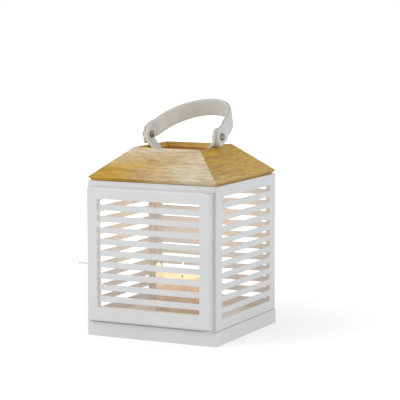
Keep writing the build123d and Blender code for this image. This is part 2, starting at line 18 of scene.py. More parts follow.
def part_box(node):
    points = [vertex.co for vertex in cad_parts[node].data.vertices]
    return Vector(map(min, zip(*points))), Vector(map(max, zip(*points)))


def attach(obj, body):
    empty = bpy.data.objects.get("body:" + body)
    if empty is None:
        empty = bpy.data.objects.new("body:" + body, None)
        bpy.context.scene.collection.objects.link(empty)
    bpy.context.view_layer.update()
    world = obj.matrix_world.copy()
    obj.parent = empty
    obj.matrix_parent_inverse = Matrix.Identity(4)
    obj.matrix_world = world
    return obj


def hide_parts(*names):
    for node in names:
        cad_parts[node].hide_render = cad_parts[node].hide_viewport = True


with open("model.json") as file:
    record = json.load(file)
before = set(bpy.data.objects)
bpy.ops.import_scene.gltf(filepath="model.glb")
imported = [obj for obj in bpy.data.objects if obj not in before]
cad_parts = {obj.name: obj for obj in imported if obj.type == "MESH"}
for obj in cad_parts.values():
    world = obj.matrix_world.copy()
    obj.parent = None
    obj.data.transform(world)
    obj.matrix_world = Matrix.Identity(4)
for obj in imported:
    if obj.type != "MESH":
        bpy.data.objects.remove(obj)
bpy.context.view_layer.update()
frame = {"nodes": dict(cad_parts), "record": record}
nodes = frame["nodes"]

# %% [markdown]
# ## Sizes that several pieces share
# Most places are read from the measured model with a box round a solid, so the dressing
# can never drift away from it. Only what a box can't tell, such as a roof slope or the
# number of slots, is named here.

# %% Shared sizes
MM = 0.001
SHEET = 1.2 * MM
SLOT_PITCH = 16.2 * MM
SLOT_HEIGHT = 7.8 * MM
SIDE_SLOT = 162.0 * MM
BACK_SLOT = 171.0 * MM
RIM_HALF = 52.4 * MM            # roof boards' upper outer edge from the middle
EAVE_HALF = 100.3 * MM          # roof boards' lower outer edge from the middle
ROOF_RISE = 40.0 * MM           # from the lower outer edge to the upper one
BOARD = 10.0 * MM
LEATHER = 3.0 * MM
STRAP_WIDTH = 25.0 * MM

wall_low, wall_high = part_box("wall_left")
door_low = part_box("door_rail_top")[0]
roof_low, roof_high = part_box("roof_board_right")
candle_low, candle_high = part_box("candle_wax")
ROOF_SLOPE = math.atan2(ROOF_RISE, EAVE_HALF - RIM_HALF)
print("wall height", round(wall_high.z - wall_low.z, 4), "roof top", round(roof_high.z, 4))


# %% [markdown]
# ## Small helpers for finishes
# A finish is a tree of shading nodes. Writing such a tree is mostly the same few moves:
# add a node, set its values, join it to the one before. Two short helpers keep the later
# cells readable.

# %% Finish helpers
def start_finish(name, **values):
    """A new material, its tree and its main shader with plain values set on its sockets."""
    material = bpy.data.materials.new(name)
    material.use_nodes = True
    shader = material.node_tree.nodes["Principled BSDF"]
    for key, value in values.items():
        shader.inputs[key.replace("_", " ")].default_value = value
    return material, material.node_tree, shader


def add(tree, kind, settings=None, **inputs):
    """A node with its settings; an input is given as a value or as another node's socket."""
    made = tree.nodes.new(kind)
    for key, value in (settings or {}).items():
        setattr(made, key, value)
    for key, value in inputs.items():
        place = made.inputs[int(key[1:])] if key[0] == "_" else made.inputs[key]
        if isinstance(value, bpy.types.NodeSocket):
            tree.links.new(value, place)
        else:
            place.default_value = value
    return made


def srgb(r, g, b):
    """A colour as it looks on screen, 0 to 255, as the linear values that shaders use."""
    line = [c / 255 for c in (r, g, b)]
    return [c / 12.92 if c < 0.04045 else ((c + 0.055) / 1.055) ** 2.4 for c in line] + [1]


def ramp(tree, factor, *stops):
    """A colour ramp whose stops are (place, colour)."""
    made = add(tree, "ShaderNodeValToRGB", Fac=factor)
    points = made.color_ramp.elements
    while len(points) < len(stops):
        points.new(0.5)
    for point, (place, colour) in zip(points, stops):
        point.position = place
        point.color = colour
    return made.outputs["Color"]


def grey(value):
    return (value, value, value, 1)


def noise_in(tree, place, scale, detail=2.0):
    return add(tree, "ShaderNodeTexNoise", Vector=place, Scale=scale, Detail=detail).outputs[0]


def math_node(tree, operation, a, b=0.0):
    return add(tree, "ShaderNodeMath", {"operation": operation}, _0=a, _1=b).outputs[0]


def mix_colour(tree, factor, a, b, blend="MIX"):
    settings = {"data_type": "RGBA", "blend_type": blend}
    return add(tree, "ShaderNodeMix", settings, _0=factor, _6=a, _7=b).outputs[2]


def bump(tree, shader, height, distance, strength=1.0):
    made = add(tree, "ShaderNodeBump", Height=height, Distance=distance, Strength=strength)
    tree.links.new(made.outputs[0], shader.inputs["Normal"])


print("helpers ready")

# %% [markdown]
# ## White powder coat
# The steel is coated with powder that melts in an oven. It leaves a satin skin with a very
# fine orange-peel texture, and it pools a little, so neither its tone nor its gloss is
# perfectly even. A flat white would look like paper. Two layers of noise do the work here: a
# fine one bends the surface, and a broad one shifts tone and roughness by a few percent.

# %% Make the powder coat
def powder_coat(name, tone, roughness):
    material, tree, shader = start_finish(name, IOR=1.5)
    shader.inputs["Coat Weight"].default_value = 0.12
    shader.inputs["Coat Roughness"].default_value = 0.22
    place = add(tree, "ShaderNodeTexCoord").outputs["Object"]
    broad = noise_in(tree, place, 14.0, 3.0)
    darker = [c * 0.955 for c in tone[:3]] + [1]
    colour = ramp(tree, broad, (0.3, darker), (0.65, tone))
    speck = add(tree, "ShaderNodeTexVoronoi", Vector=place, Scale=420.0).outputs["Distance"]
    dust = ramp(tree, speck, (0.0, grey(0.93)), (0.09, grey(1.0)))
    mixed = mix_colour(tree, 1.0, colour, dust, "MULTIPLY")
    tree.links.new(mixed, shader.inputs["Base Color"])
    peel = noise_in(tree, place, 620.0)
    satin = ramp(tree, broad, (0.3, grey(roughness - 0.05)), (0.7, grey(roughness + 0.07)))
    tree.links.new(satin, shader.inputs["Roughness"])
    bump(tree, shader, peel, 0.00012, 0.35)
    return material


white_coat = powder_coat("white_powder_coat", srgb(235, 236, 236), 0.42)
print("made", white_coat.name)

# %% [markdown]
# ## Oiled hardwood
# The roof boards are a light tropical hardwood with an oil finish. Its sapwood is pale and
# pinkish, its heartwood golden. Fine dark pores run as short dashes along the grain, slow
# bands follow the growth of the tree, and a soft ripple crosses them. Each board carries
# its own coordinates (along, across and through the board) in an attribute, so the grain
# runs the right way on every board. A second attribute says how golden each place is. The
# faces inside the roof get a painted shade: their colour is made a little darker and warmer.

# %% Make the wood
def board_wood(name):
    material, tree, shader = start_finish(name, IOR=1.40)
    shader.inputs["Coat Weight"].default_value = 0.04
    shader.inputs["Coat Roughness"].default_value = 0.35
    place = add(tree, "ShaderNodeAttribute", {"attribute_name": "board_place"}).outputs["Vector"]
    heart = add(tree, "ShaderNodeAttribute", {"attribute_name": "board_heart"}).outputs["Fac"]

    def stretched(along, across, detail, warp=None):
        moved = place
        if warp is not None:
            settings = {"operation": "ADD"}
            moved = add(tree, "ShaderNodeVectorMath", settings, _0=place, _1=warp).outputs[0]
        made = add(tree, "ShaderNodeMapping", Vector=moved, Scale=(along, across, across))
        return noise_in(tree, made.outputs[0], 1.0, detail)

    bend = stretched(9.0, 14.0, 1.0)
    sway = add(tree, "ShaderNodeMapRange", Value=bend, _3=-0.006, _4=0.006).outputs[0]
    warp = add(tree, "ShaderNodeCombineXYZ", Y=sway).outputs[0]
    bands = stretched(6.0, 62.0, 4.0, warp)
    streaks = stretched(34.0, 300.0, 3.0, warp)
    fibres = stretched(60.0, 560.0, 3.0, warp)
    pores = stretched(110.0, 900.0, 2.0, warp)
    ripple = stretched(42.0, 30.0, 2.0)
    patches = stretched(10.0, 26.0, 2.0)

    turned = math_node(tree, "MULTIPLY_ADD", patches, 0.55)
    turned.node.inputs[2].default_value = -0.27
    golden = math_node(tree, "ADD", turned, heart)
    sapwood = (srgb(224, 206, 170), srgb(242, 228, 196), srgb(250, 240, 214))
    heartwood = (srgb(184, 136, 36), srgb(216, 172, 56), srgb(230, 190, 76))
    pale = ramp(tree, bands, *zip((0.28, 0.50, 0.74), sapwood))
    gold = ramp(tree, bands, *zip((0.28, 0.50, 0.74), heartwood))
    colour = mix_colour(tree, golden, pale, gold)
    streak = ramp(tree, streaks, (0.34, srgb(226, 206, 176)), (0.60, srgb(255, 255, 255)))
    colour = mix_colour(tree, 0.8, colour, streak, "MULTIPLY")
    grain = ramp(tree, fibres, (0.30, grey(0.84)), (0.58, grey(1.03)))
    colour = mix_colour(tree, 0.9, colour, grain, "MULTIPLY")
    dashes = ramp(tree, pores, (0.32, grey(0.52)), (0.45, grey(1.0)))
    colour = mix_colour(tree, 0.75, colour, dashes, "MULTIPLY")
    shimmer = ramp(tree, ripple, (0.32, grey(0.92)), (0.68, grey(1.05)))
    colour = mix_colour(tree, 0.8, colour, shimmer, "MULTIPLY")
    # Painted shade: towards the inner face of each board the colour is multiplied by a warm tan.
    through = add(tree, "ShaderNodeSeparateXYZ", Vector=place).outputs["Z"]
    inside = add(tree, "ShaderNodeMapRange", Value=through, _1=0.7 * BOARD, _2=BOARD).outputs[0]
    painted_inner_shade = mix_colour(tree, 1.0, colour, srgb(214, 190, 150), "MULTIPLY")
    colour = mix_colour(tree, inside, colour, painted_inner_shade)
    tree.links.new(colour, shader.inputs["Base Color"])
    sheen = ramp(tree, fibres, (0.3, grey(0.62)), (0.7, grey(0.44)))
    tree.links.new(sheen, shader.inputs["Roughness"])
    relief = math_node(tree, "MULTIPLY", math_node(tree, "ADD", fibres, dashes), 0.5)
    bump(tree, shader, relief, 0.0003, 0.5)
    return material


roof_wood = board_wood("oiled_hardwood")
print("made", roof_wood.name)


# %% [markdown]
# ## Raw block wood, zinc, chrome
# The glued blocks in the roof's corners are raw offcuts, sawn and never oiled. Screws and
# pins are zinc-plated steel, grey with faint brushed marks. The domed handle screws are
# polished and plated, so nearly all of their look is what they reflect, apart from a few
# fine rub marks.

# %% Make the block wood and the metals
def raw_wood(name):
    material, tree, shader = start_finish(name, Roughness=0.8)
    place = add(tree, "ShaderNodeTexCoord").outputs["Object"]
    laid = add(tree, "ShaderNodeMapping", Vector=place, Scale=(30.0, 260.0, 260.0)).outputs[0]
    fibres = noise_in(tree, laid, 1.0, 4.0)
    colour = ramp(tree, fibres, (0.3, srgb(176, 142, 98)), (0.7, srgb(214, 186, 142)))
    tree.links.new(colour, shader.inputs["Base Color"])
    bump(tree, shader, fibres, 0.0004, 0.6)
    return material


def plated_metal(name, tone, roughness, marks):
    material, tree, shader = start_finish(name, Metallic=1.0)
    place = add(tree, "ShaderNodeTexCoord").outputs["Object"]
    rubbed = add(tree, "ShaderNodeMapping", Vector=place, Scale=(900.0, 900.0, 140.0)).outputs[0]
    lines = noise_in(tree, rubbed, 1.0)
    worn = [c * 0.86 for c in tone[:3]] + [1]
    tree.links.new(ramp(tree, lines, (0.35, worn), (0.6, tone)), shader.inputs["Base Color"])
    gloss = ramp(tree, lines, (0.3, grey(roughness)), (0.75, grey(roughness + marks)))
    tree.links.new(gloss, shader.inputs["Roughness"])
    bump(tree, shader, lines, 0.00004, 0.3)
    return material


block_wood = raw_wood("raw_block_wood")
zinc = plated_metal("zinc_plate", srgb(196, 197, 199), 0.34, 0.14)
chrome = plated_metal("polished_plate", srgb(134, 128, 118), 0.08, 0.08)
print("made", block_wood.name, zinc.name, chrome.name)


# %% [markdown]
# ## Off-white leather
# The handle is two layers of finished leather glued back to back. Its face has small
# rounded pebbles with creases between them, and its cut edges are painted, smoother and a
# little yellower. The pebbles come from cell noise on the object's own coordinates, which
# keeps them the same size along the whole strap. An attribute is 0 on the face, 0.5 on the
# cut edge and 1 in the dark glue line between two layers.

# %% Make the leather
def finished_leather(name):
    material, tree, shader = start_finish(name, IOR=1.5)
    shader.inputs["Sheen Weight"].default_value = 0.08
    shader.inputs["Sheen Roughness"].default_value = 0.4
    place = add(tree, "ShaderNodeTexCoord").outputs["Object"]
    edge = add(tree, "ShaderNodeAttribute", {"attribute_name": "cut_edge"}).outputs["Fac"]
    shift = add(tree, "ShaderNodeTexNoise", Vector=place, Scale=260.0, Detail=2.0).outputs["Color"]
    pushed = add(tree, "ShaderNodeVectorMath", {"operation": "SCALE"}, _0=shift).outputs[0]
    pushed.node.inputs["Scale"].default_value = 0.0016
    moved = add(tree, "ShaderNodeVectorMath", {"operation": "ADD"}, _0=place, _1=pushed).outputs[0]
    cells = add(tree, "ShaderNodeTexVoronoi", {"feature": "SMOOTH_F1"}, Vector=moved, Scale=760.0)
    pebbles = ramp(tree, cells.outputs["Distance"], (0.15, grey(1.0)), (0.75, grey(0.0)))
    broad = noise_in(tree, place, 38.0, 4.0)
    face = ramp(tree, broad, (0.3, srgb(220, 221, 220)), (0.7, srgb(233, 234, 232)))
    # Painted shade: the creases between the pebbles are darkened by a tenth.
    crease_shade = ramp(tree, pebbles, (0.0, grey(0.90)), (0.5, grey(1.0)))
    face = mix_colour(tree, 0.8, face, crease_shade, "MULTIPLY")
    paint, glue_line = srgb(226, 222, 212), srgb(120, 110, 96)
    painted = ramp(tree, edge, (0.0, srgb(232, 229, 222)), (0.5, paint), (1.0, glue_line))
    on_edge = math_node(tree, "MULTIPLY", edge, 2.0)
    on_edge.node.use_clamp = True
    colour = mix_colour(tree, on_edge, face, painted)
    tree.links.new(colour, shader.inputs["Base Color"])
    rough = ramp(tree, pebbles, (0.0, grey(0.62)), (1.0, grey(0.46)))
    tree.links.new(rough, shader.inputs["Roughness"])
    plain = math_node(tree, "SUBTRACT", 1.0, on_edge)
    wrinkle = math_node(tree, "MULTIPLY", math_node(tree, "ADD", pebbles, broad), plain)
    bump(tree, shader, wrinkle, 0.00022, 0.5)
    return material


leather = finished_leather("white_leather")
print("made", leather.name)

# %% [markdown]
# ## Candle wax, wick and flame
# Wax lets light in, so a burning candle glows from its rim down and fades towards its foot.
# Scattering under the surface gives the soft look, and a gradient on height adds the glow
# of the flame behind the wall. A flame has no solid: it is light alone, blue and almost clear
# at its foot, white-hot above and yellow at its tip.

# %% Make the candle's finishes
def candle_wax_finish(name, low, high):
    material, tree, shader = start_finish(name, Roughness=0.42, IOR=1.44)
    shader.inputs["Subsurface Weight"].default_value = 0.6
    shader.inputs["Subsurface Scale"].default_value = 0.006
    shader.inputs["Subsurface Radius"].default_value = (1.0, 0.55, 0.3)
    place = add(tree, "ShaderNodeTexCoord").outputs["Object"]
    height = add(tree, "ShaderNodeSeparateXYZ", Vector=place).outputs["Z"]
    cloud = noise_in(tree, place, 55.0, 4.0)
    wobble = math_node(tree, "MULTIPLY_ADD", cloud, 0.012)
    wobble.node.inputs[2].default_value = -0.006
    level = math_node(tree, "ADD", height, wobble)
    rise = add(tree, "ShaderNodeMapRange", Value=level, _1=low, _2=high).outputs[0]
    colour = ramp(tree, cloud, (0.3, srgb(230, 214, 194)), (0.7, srgb(242, 230, 212)))
    tree.links.new(colour, shader.inputs["Base Color"])
    # Painted glow: the emission stands in for the flame's light through the wax, bright at the rim
    # and dark at the foot.
    dim, warm, bright = srgb(96, 60, 38), srgb(190, 146, 102), srgb(255, 226, 180)
    glow = ramp(tree, rise, (0.0, srgb(16, 8, 4)), (0.35, dim), (0.70, warm), (1.0, bright))
    tree.links.new(glow, shader.inputs["Emission Color"])
    shader.inputs["Emission Strength"].default_value = 0.46
    bump(tree, shader, cloud, 0.0008, 0.4)
    return material


def flame_finish(name):
    material, tree, shader = start_finish(name, Roughness=1.0)
    shader.inputs["Base Color"].default_value = (0.02, 0.01, 0.0, 1)
    rise = add(tree, "ShaderNodeAttribute", {"attribute_name": "flame_rise"}).outputs["Fac"]
    blue, orange, white_hot = srgb(90, 110, 220), srgb(255, 190, 110), srgb(255, 236, 190)
    yellow = srgb(255, 214, 130)
    glow = ramp(tree, rise, (0.0, blue), (0.14, orange), (0.4, white_hot), (1.0, yellow))
    tree.links.new(glow, shader.inputs["Emission Color"])
    shader.inputs["Emission Strength"].default_value = 3.0
    clear = ramp(tree, rise, (0.0, grey(0.25)), (0.2, grey(1.0)))
    tree.links.new(clear, shader.inputs["Alpha"])
    return material


def wick_finish(name):
    material, tree, shader = start_finish(name, Roughness=0.95)
    place = add(tree, "ShaderNodeTexCoord").outputs["Object"]
    braid = add(tree, "ShaderNodeTexWave", Vector=place, Scale=900.0, Distortion=6.0).outputs[1]
    charred = ramp(tree, braid, (0.2, srgb(24, 20, 18)), (0.8, srgb(70, 56, 46)))
    tree.links.new(charred, shader.inputs["Base Color"])
    bump(tree, shader, braid, 0.0002, 0.8)
    return material


wax = candle_wax_finish("candle_wax", candle_low.z + 0.012, candle_high.z - 0.016)
flame_glow = flame_finish("flame")
wick_char = wick_finish("charred_wick")
print("made", wax.name, flame_glow.name, wick_char.name)

# %% [markdown]
# ## Dress the solids whose shape is already right
# Posts, rails, plinth, hinges and screws are exact in the measured model. They only get the
# finish of their material slot.

# %% Put finishes on the solids
FINISH_OF_SLOT = {
    "white_paint": white_coat,
    "roof_wood": roof_wood,
    "block_wood": block_wood,
    "bare_steel": zinc,
    "chrome": chrome,
    "white_leather": leather,
    "wax": wax,
    "wick": wick_char,
}
for part in frame["record"]["subparts"]:
    solid = nodes[part["node"]]
    if not solid.material_slots:
        solid.data.materials.append(None)
    for place in solid.material_slots:
        place.material = FINISH_OF_SLOT[part["material_slot"]]


# %% [markdown]
# ## Helpers for new pieces
# A piece made point by point goes through one helper, and a piece grown by geometry nodes
# through another, which sets the named inputs, evaluates the tree once and keeps the result
# as a plain mesh.

# %% Piece helpers
def new_piece(name, points, faces, finish, smooth=True):
    mesh = bpy.data.meshes.new(name)
    mesh.from_pydata([tuple(p) for p in points], [], faces)
    mesh.materials.append(finish)
    for face in mesh.polygons:
        face.use_smooth = smooth
    piece = bpy.data.objects.new(name, mesh)
    bpy.context.scene.collection.objects.link(piece)
    shape = bmesh.new()
    shape.from_mesh(mesh)
    bmesh.ops.remove_doubles(shape, verts=shape.verts, dist=1e-7)
    bmesh.ops.recalc_face_normals(shape, faces=shape.faces)
    shape.to_mesh(mesh)
    shape.free()
    return piece


def mark_points(piece, name, values):
    """Keeps a number, or a place, at each point of a piece, for its finish to read."""
    kind = "FLOAT_VECTOR" if hasattr(values[0], "__len__") else "FLOAT"
    held = piece.data.attributes.new(name, kind, "POINT")
    for item, value in zip(held.data, values):
        setattr(item, "vector" if kind == "FLOAT_VECTOR" else "value", value)


def ease_edges(piece, width, segments=2, angle=35):
    """Rounds a piece's sharp edges a little, as paint, sanding or a tool does."""
    made = piece.modifiers.new("eased", "BEVEL")
    made.width = width
    made.segments = segments
    made.limit_method = "ANGLE"
    made.angle_limit = math.radians(angle)
    made.harden_normals = True


def socket_kind(value):
    if isinstance(value, bpy.types.Material):
        return "NodeSocketMaterial"
    if isinstance(value, int):
        return "NodeSocketInt"
    return "NodeSocketVector" if hasattr(value, "__len__") else "NodeSocketFloat"


def start_tree(name, sizes):
    """A geometry tree with one named input for each size, and its input and output nodes."""
    tree = bpy.data.node_groups.new(name, "GeometryNodeTree")
    tree.interface.new_socket("Geometry", in_out="OUTPUT", socket_type="NodeSocketGeometry")
    for label, value in sizes.items():
        tree.interface.new_socket(label, in_out="INPUT", socket_type=socket_kind(value))
    given = tree.nodes.new("NodeGroupInput").outputs
    return tree, given, tree.nodes.new("NodeGroupOutput")


def grow(name, tree, sizes):
    """Runs a geometry tree with these sizes and returns the result as a plain mesh."""
    host = bpy.data.objects.new(name + "_host", bpy.data.meshes.new(name + "_host"))
    bpy.context.scene.collection.objects.link(host)
    maker = host.modifiers.new("grow", "NODES")
    maker.node_group = tree
    for item in tree.interface.items_tree:
        if item.item_type == "SOCKET" and item.in_out == "INPUT":
            maker[item.identifier] = sizes[item.name]
    seen = host.evaluated_get(bpy.context.evaluated_depsgraph_get())
    piece = bpy.data.objects.new(name, bpy.data.meshes.new_from_object(seen))
    bpy.context.scene.collection.objects.link(piece)
    bpy.data.objects.remove(host)
    print(name, "faces", len(piece.data.polygons))
    return piece


def plate_from(tree, outline, thickness):
    """Fills a flat outline, gives it a thickness, and closes its back."""
    flat = add(tree, "GeometryNodeFillCurve", {"mode": "NGONS"}, Curve=outline).outputs[0]
    raised = add(tree, "GeometryNodeExtrudeMesh", Mesh=flat, Individual=False)
    tree.links.new(thickness, raised.inputs["Offset Scale"])
    back = add(tree, "GeometryNodeFlipFaces", Mesh=flat).outputs[0]
    joined = add(tree, "GeometryNodeJoinGeometry")
    for part in (raised.outputs[0], back):
        tree.links.new(part, joined.inputs[0])
    closed = add(tree, "GeometryNodeMergeByDistance", Geometry=joined.outputs[0], Distance=1e-6)
    return closed.outputs[0]


def row_of(tree, what, count, start, step):
    """Copies a piece to each point of an even row."""
    line = add(tree, "GeometryNodeMeshLine", {"mode": "OFFSET"}, Count=count)
    tree.links.new(start, line.inputs["Start Location"])
    tree.links.new(step, line.inputs["Offset"])
    copies = add(tree, "GeometryNodeInstanceOnPoints", Points=line.outputs[0], Instance=what)
    return add(tree, "GeometryNodeRealizeInstances", Geometry=copies.outputs[0]).outputs[0]


def vector_from(tree, **parts):
    return add(tree, "ShaderNodeCombineXYZ", **parts).outputs[0]


def rectangle(tree, width, height, corner=None):
    """A flat outline, with rounded corners where a radius is given."""
    drawn = add(tree, "GeometryNodeCurvePrimitiveQuadrilateral", Width=width, Height=height)
    if corner is None:
        return drawn.outputs[0]
    rounded = add(tree, "GeometryNodeFilletCurve", {"mode": "POLY"}, Curve=drawn.outputs[0],
                  Radius=corner, Count=3)
    return rounded.outputs[0]


print("piece helpers ready")

# %% [markdown]
# ## The punched walls
# Each wall is one flat sheet with eleven level slots punched through it, all at one pitch.
# Modelling the slots by hand, or cutting them one by one, would hide that rule. A geometry
# tree states it: a rectangle, a row of rounded slot outlines inside it, one fill that leaves
# the slots open, and an extrusion to the sheet's thickness. The same tree makes the two side
# walls and the back wall, which only differ in width, slot length and place. Its edges are
# then eased, because powder coat rounds every punched edge.

# %% The tree of a punched sheet
SHEET_SIZES = {
    "Width": 0.2, "Height": 0.2, "Slots": 11, "Pitch": SLOT_PITCH, "Slot length": 0.16,
    "Slot height": SLOT_HEIGHT, "Slot corner": 0.0008, "Thickness": SHEET,
    "Turn": (0.0, 0.0, 0.0), "Place": (0.0, 0.0, 0.0), "Finish": white_coat,
}
sheet_tree, size, sheet_out = start_tree("punched_sheet", SHEET_SIZES)
rim = rectangle(sheet_tree, size["Width"], size["Height"])
hole = rectangle(sheet_tree, size["Slot length"], size["Slot height"], size["Slot corner"])
gaps = math_node(sheet_tree, "SUBTRACT", size["Slots"], 1.0)
run = math_node(sheet_tree, "MULTIPLY", gaps, size["Pitch"])
start = vector_from(sheet_tree, Y=math_node(sheet_tree, "MULTIPLY", run, -0.5))
step = vector_from(sheet_tree, Y=size["Pitch"])
holes = row_of(sheet_tree, hole, size["Slots"], start, step)
outline = add(sheet_tree, "GeometryNodeJoinGeometry")
for part in (rim, holes):
    sheet_tree.links.new(part, outline.inputs[0])
sheet = plate_from(sheet_tree, outline.outputs[0], size["Thickness"])
middle = vector_from(sheet_tree, Z=math_node(sheet_tree, "MULTIPLY", size["Thickness"], -0.5))
sheet = add(sheet_tree, "GeometryNodeTransform", Geometry=sheet, Translation=middle).outputs[0]
moved = add(sheet_tree, "GeometryNodeTransform", Geometry=sheet, Rotation=size["Turn"],
            Translation=size["Place"])
sheet = add(sheet_tree, "GeometryNodeSetMaterial", Geometry=moved.outputs[0],
            Material=size["Finish"])
sheet_tree.links.new(sheet.outputs[0], sheet_out.inputs[0])
print("tree nodes", len(sheet_tree.nodes))


# %% Three walls from one tree
def punched_wall(node, slot_length, turn_z):
    low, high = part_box(node)
    upright = max(high.x - low.x, high.y - low.y)
    sizes = dict(SHEET_SIZES)
    sizes["Width"] = upright
    sizes["Height"] = high.z - low.z
    sizes["Slot length"] = slot_length
    sizes["Turn"] = (math.pi / 2, 0.0, turn_z)
    sizes["Place"] = tuple((low + high) / 2)
    wall = grow(node + "_punched", sheet_tree, sizes)
    ease_edges(wall, 0.0003, 1)
    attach(wall, "lantern")
    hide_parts(node)


punched_wall("wall_left", SIDE_SLOT, math.pi / 2)
punched_wall("wall_right", SIDE_SLOT, math.pi / 2)
punched_wall("wall_back", BACK_SLOT, 0.0)

# %% [markdown]
# ## The door's slats
# Nine equal flat bars are welded between the door's stiles. Equal things at an equal pitch
# are again a row in a geometry tree: one rounded outline, extruded to the length of a bar,
# laid on its side and copied upwards.

# %% Nine slats from one tree
slat_low, slat_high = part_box("door_slat_1")
slat_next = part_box("door_slat_2")[0]
SLAT_SIZES = {
    "Length": slat_high.x - slat_low.x, "Height": slat_high.z - slat_low.z,
    "Thickness": slat_high.y - slat_low.y, "Edge": 0.0004, "Count": 9,
    "Pitch": slat_next.z - slat_low.z,
    "Place": (slat_low.x, (slat_low.y + slat_high.y) / 2, (slat_low.z + slat_high.z) / 2),
    "Finish": white_coat,
}
slat_tree, size, slat_out = start_tree("slat_row", SLAT_SIZES)
section = rectangle(slat_tree, size["Height"], size["Thickness"], size["Edge"])
bar = plate_from(slat_tree, section, size["Length"])
bar = add(slat_tree, "GeometryNodeTransform", Geometry=bar)
bar.inputs["Rotation"].default_value = (0.0, math.pi / 2, 0.0)
step = vector_from(slat_tree, Z=size["Pitch"])
bars = row_of(slat_tree, bar.outputs[0], size["Count"], size["Place"], step)
bars = add(slat_tree, "GeometryNodeSetMaterial", Geometry=bars, Material=size["Finish"]).outputs[0]
slat_tree.links.new(bars, slat_out.inputs[0])
slats = grow("door_slats", slat_tree, SLAT_SIZES)
ease_edges(slats, 0.0002, 1)
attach(slats, "door")
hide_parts(*["door_slat_%d" % row for row in range(1, 10)])

# %% [markdown]
# ## Weld seams on the door
# The door's rails and stiles are tubes welded edge to edge and ground nearly flush, which
# leaves four short level lines under the paint. Each is a run of small overlapping beads,
# copied along a line by a tree, and flattened until it barely stands proud. It stops short
# of the stile's outer corner, which passes close to the post when the door is wide open.

# %% Four weld seams
stile_low, stile_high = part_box("door_stile_right")
SEAM_SIZES = {
    "Beads": 17, "Step": (0.00082, 0.0, 0.0), "Bead": 0.00055, "Start": (0.0, 0.0, 0.0),
    "Flatten": (1.0, 0.35, 1.0), "Finish": white_coat,
}
seam_tree, size, seam_out = start_tree("weld_seam", SEAM_SIZES)
bead = add(seam_tree, "GeometryNodeMeshIcoSphere", Radius=size["Bead"], Subdivisions=2)
bead = add(seam_tree, "GeometryNodeTransform", Geometry=bead.outputs[0], Scale=size["Flatten"])
beads = row_of(seam_tree, bead.outputs[0], size["Beads"], size["Start"], size["Step"])
beads = add(seam_tree, "GeometryNodeSetMaterial", Geometry=beads,
            Material=size["Finish"]).outputs[0]
seam_tree.links.new(beads, seam_out.inputs[0])
SEAM_STOP = 2.5 * MM
for side, start_x in (("left", -stile_high.x + SEAM_STOP), ("right", stile_low.x)):
    for level, z in (("lower", stile_low.z), ("upper", stile_high.z)):
        sizes = dict(SEAM_SIZES)
        sizes["Start"] = (start_x + 0.0004, door_low.y + 0.00005, z)
        seam = grow("weld_%s_%s" % (level, side), seam_tree, sizes)
        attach(seam, "door")

# %% [markdown]
# ## The roof boards
# Four boards lean inwards and meet in mitres, and leave a square opening at the top. A
# board is a five-sided section cut at 45 degrees at both ends. Its corners are worked out
# from the section, so neighbours meet exactly, and its edges are eased as if by sandpaper.
# While the points are made, each one also gets its place along, across and through the
# board, which is what the wood finish reads.

# %% Four mitred boards
SEAT = roof_low.z
RIM = roof_high.z
EAVE = SEAT + 5.15 * MM
BOARD_FACE = 62.5 * MM          # a board's outer face, from its upper edge to its lower one
slope = Vector((math.cos(ROOF_SLOPE), -math.sin(ROOF_SLOPE)))
inward = Vector((-math.sin(ROOF_SLOPE), -math.cos(ROOF_SLOPE)))
top = Vector((RIM_HALF, RIM))
inner_top = top + inward * BOARD
inner_foot = inner_top + slope * ((inner_top.y - SEAT) / math.sin(ROOF_SLOPE))
outer_foot = Vector((EAVE_HALF - (EAVE - SEAT) * math.tan(ROOF_SLOPE), SEAT))
SECTION = [Vector((EAVE_HALF, EAVE)), top, inner_top, inner_foot, outer_foot]


def roof_board(side, turn, heart, seed):
    """heart gives how golden the board is at its lower left, lower right and upper corners."""
    points, places, golden = [], [], []
    glue = 0.00005
    for end in (-1, 1):
        for r, z in SECTION:
            points.append(Vector((r, end * (r - glue), z)))
    for p in points:
        down = (Vector((p.x, p.z)) - top).dot(slope)
        through = (Vector((p.x, p.z)) - top).dot(inward)
        places.append((p.y + seed, down + seed * 0.7, through))
        low = min(1.0, max(0.0, down / BOARD_FACE))
        foot = heart[0] if p.y < 0 else heart[1]
        golden.append(heart[2] * (1 - low) + foot * low)
    faces = [tuple(range(5)), tuple(range(9, 4, -1))]
    faces += [(i, i + 5, (i + 1) % 5 + 5, (i + 1) % 5) for i in range(5)]
    spin = Matrix.Rotation(math.radians(turn), 4, "Z")
    turned = [spin @ p for p in points]
    board = new_piece("roof_board_%s_shaped" % side, turned, faces, roof_wood, False)
    mark_points(board, "board_place", places)
    mark_points(board, "board_heart", golden)
    ease_edges(board, 0.0006, 2, 20)
    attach(board, "lantern")
    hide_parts("roof_board_" + side)


roof_board("front", 270, (1.45, -0.55, -0.10), 0.137)
roof_board("right", 0, (0.75, 0.85, 1.15), 0.521)
roof_board("back", 90, (0.85, 0.95, 0.85), 0.893)
roof_board("left", 180, (0.90, 0.80, 1.05), 1.377)
print("board slope", round(math.degrees(ROOF_SLOPE), 2), "degrees")


# %% [markdown]
# ## Leather bands
# Strap and tabs are leather cut to a band, so both are made as a section that is carried
# along a line. The section is a flat band with rounded corners. For two glued layers it is
# nipped in at the middle of each edge, where the glue line shows. The line of stations holds
# where the band's middle is, which way its face looks and how wide it is there.

# %% Sections and lofts
half_groove = [(0.5, 0.0, 0.5), (0.24, 0.25, 0.55), (0.08, 0.9, 0.95)]
other_half = [(-share, depth, glue) for share, depth, glue in reversed(half_groove)]
GLUE_LINE = half_groove + [(0.0, 1.0, 1.0)] + other_half    # place, depth, attribute


